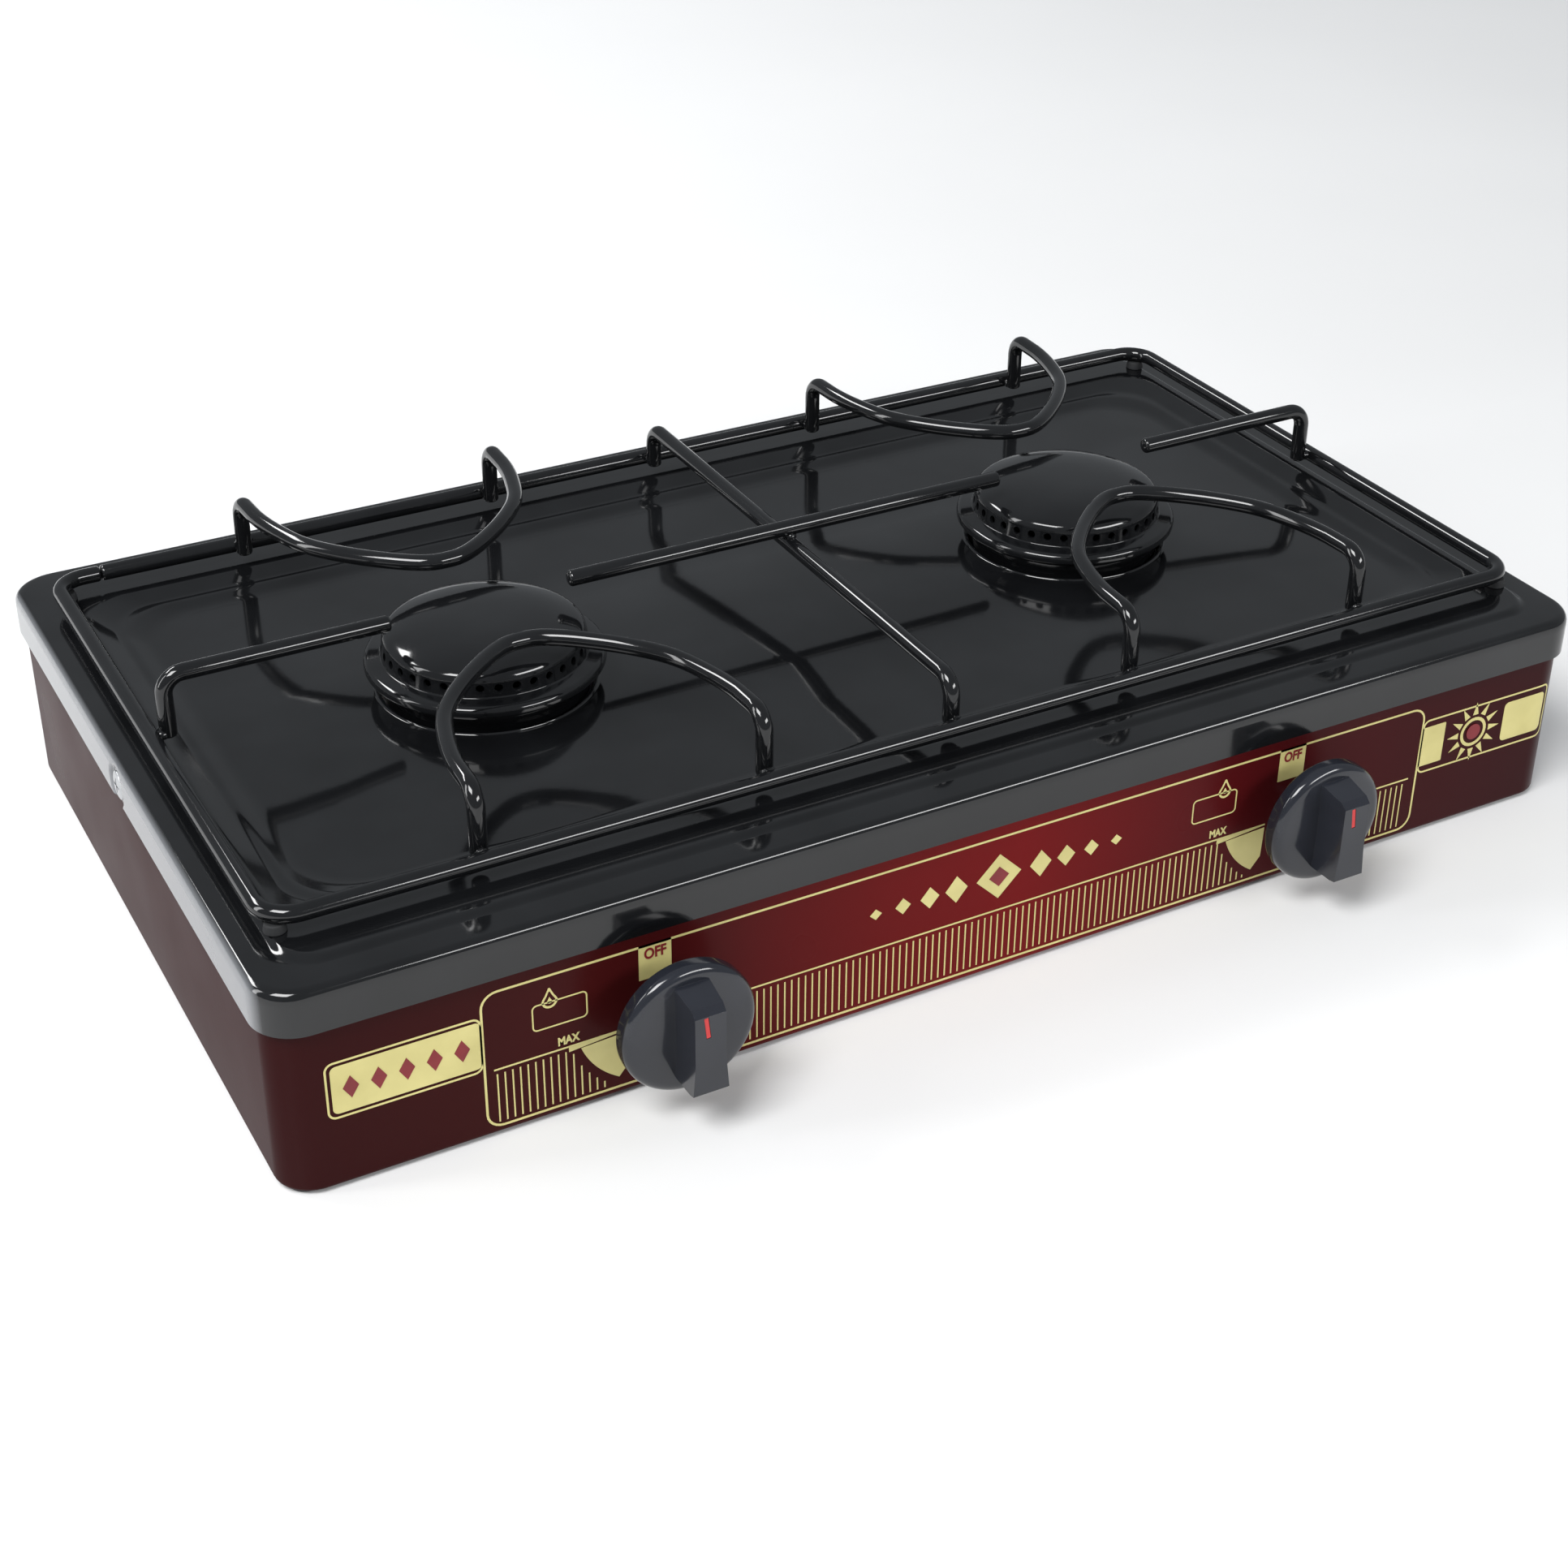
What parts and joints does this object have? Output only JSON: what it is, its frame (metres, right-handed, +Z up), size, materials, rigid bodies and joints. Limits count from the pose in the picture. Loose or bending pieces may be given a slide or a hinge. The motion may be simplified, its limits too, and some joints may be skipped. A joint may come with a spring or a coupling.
{
  "type": "camp stove",
  "caption": "Table-top gas stove: black enamel hob and wire grate over stamped burners, dark red casing, turn knobs.",
  "frame": {"origin": "on the table top, under the centre of the hob, which is the bottom centre of the bounding box", "axes": "+X to the user's right along the long side, +Y from the knobs to the back, +Z up"},
  "size_m": [0.515, 0.363, 0.1101],
  "materials": {
    "black_enamel": "gloss black vitreous enamel on steel",
    "maroon_paint": "gloss dark red paint with gold printed lines",
    "knob_plastic": "semi-gloss charcoal moulding",
    "red_pointer": "red filled line",
    "rubber": "matt black rubber",
    "brass": "turned brass",
    "aluminium": "plain aluminium",
    "zinc_steel": "zinc plated steel"
  },
  "bodies": {
    "stove": {"hob_plate": "black_enamel", "casing_wrap": "maroon_paint", "back_panel": "maroon_paint", "gas_rail": "aluminium", "hose_nipple": "brass", "nipple_nut": "brass", "rail_plug": "brass", "burner_top_left": "black_enamel", "burner_top_right": "black_enamel", "burner_bowl_left": "black_enamel", "burner_bowl_right": "black_enamel", "mixing_tube_left": "zinc_steel", "mixing_tube_right": "zinc_steel", "neck_nut_left": "zinc_steel", "neck_nut_right": "zinc_steel", "burner_strap_left": "zinc_steel", "burner_strap_right": "zinc_steel", "valve_body_left": "aluminium", "valve_body_right": "aluminium", "jet_left": "brass", "jet_right": "brass", "rail_hanger_left": "zinc_steel", "rail_hanger_right": "zinc_steel", "side_screw_left": "zinc_steel", "side_screw_right": "zinc_steel", "back_screw_low_left": "zinc_steel", "back_screw_low_right": "zinc_steel", "back_screw_high_left": "zinc_steel", "back_screw_high_right": "zinc_steel", "foot_front_left": "rubber", "foot_front_right": "rubber", "foot_back_left": "rubber", "foot_back_right": "rubber", "grate_buffer_front_left": "rubber", "grate_buffer_front_right": "rubber", "grate_buffer_back_left": "rubber", "grate_buffer_back_right": "rubber"},
    "grate": {"grate_frame": "black_enamel", "centre_bar": "black_enamel", "cross_rod": "black_enamel", "pot_finger_left": "black_enamel", "pot_finger_right": "black_enamel", "pot_bow_front_left": "black_enamel", "pot_bow_front_right": "black_enamel", "pot_bow_back_left": "black_enamel", "pot_bow_back_right": "black_enamel"},
    "plunger_left": {"thrust_washer_left": "zinc_steel", "stem_spring_left": "zinc_steel"},
    "plunger_right": {"thrust_washer_right": "zinc_steel", "stem_spring_right": "zinc_steel"},
    "knob_left": {"knob_left": "knob_plastic", "knob_pointer_left": "red_pointer", "stem_left": "zinc_steel"},
    "knob_right": {"knob_right": "knob_plastic", "knob_pointer_right": "red_pointer", "stem_right": "zinc_steel"},
    "plug_left": {"valve_plug_left": "brass"},
    "plug_right": {"valve_plug_right": "brass"}
  },
  "joints": [
    {"name": "grate_lift", "type": "slide", "parent": "stove", "child": "grate", "axis": [0, 0, 1], "range_m": [0, 0.06]},
    {"name": "knob_push_left", "type": "slide", "parent": "stove", "child": "plunger_left", "axis": [0, 1, 0], "range_m": [0, 0.003], "stiffness_N_per_m": 500, "springref_m": -0.008},
    {"name": "knob_push_right", "type": "slide", "parent": "stove", "child": "plunger_right", "axis": [0, 1, 0], "range_m": [0, 0.003], "stiffness_N_per_m": 500, "springref_m": -0.008},
    {"name": "knob_turn_left", "type": "hinge", "parent": "plunger_left", "child": "knob_left", "pos_m": [-0.127, -0.15, 0.0345], "axis": [0, -1, 0], "range_deg": [0, 180]},
    {"name": "knob_turn_right", "type": "hinge", "parent": "plunger_right", "child": "knob_right", "pos_m": [0.127, -0.15, 0.0345], "axis": [0, -1, 0], "range_deg": [0, 180]},
    {"name": "plug_turn_left", "type": "hinge", "parent": "stove", "child": "plug_left", "pos_m": [-0.127, -0.12, 0.0345], "axis": [0, -1, 0], "range_deg": [0, 180]},
    {"name": "plug_turn_right", "type": "hinge", "parent": "stove", "child": "plug_right", "pos_m": [0.127, -0.12, 0.0345], "axis": [0, -1, 0], "range_deg": [0, 180]}
  ],
  "couplings": [
    {"joint": "plug_turn_left", "follows": "knob_turn_left", "ratio": 1},
    {"joint": "plug_turn_right", "follows": "knob_turn_right", "ratio": 1}
  ]
}
